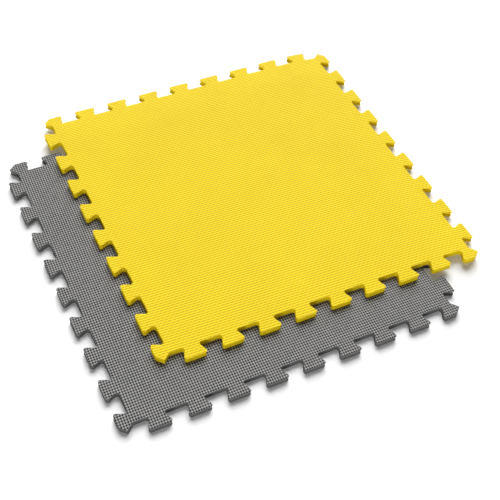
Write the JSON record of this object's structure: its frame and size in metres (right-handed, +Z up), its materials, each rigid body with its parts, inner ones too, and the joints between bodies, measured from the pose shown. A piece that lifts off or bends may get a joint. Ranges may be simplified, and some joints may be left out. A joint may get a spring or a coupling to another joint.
{
  "type": "interlocking blocking mats",
  "caption": "Two square foam mats with dovetail puzzle-tab edges and a textured face, the upper laid loose on the lower, for pinning out knitting to dry.",
  "frame": {"origin": "on the floor, at the middle of the two mats' common outline", "axes": "+Z up through the mats' thickness; +X and +Y along the mats' sides, pointing the way the upper mat is shifted on the lower one"},
  "size_m": [0.7204, 0.7122, 0.0214],
  "materials": {
    "grey_foam": "matt closed-cell EVA foam, embossed with a fine grid on the upper face",
    "yellow_foam": "matt closed-cell EVA foam, embossed with a fine grid on the upper face"
  },
  "bodies": {
    "lower_mat": {"grey_mat": "grey_foam"},
    "upper_mat": {"yellow_mat": "yellow_foam"}
  },
  "joints": [
    {"name": "yellow_mat_lift", "type": "slide", "parent": "lower_mat", "child": "upper_mat", "axis": [0, 0, 1], "range_m": [0, 0.25]}
  ]
}
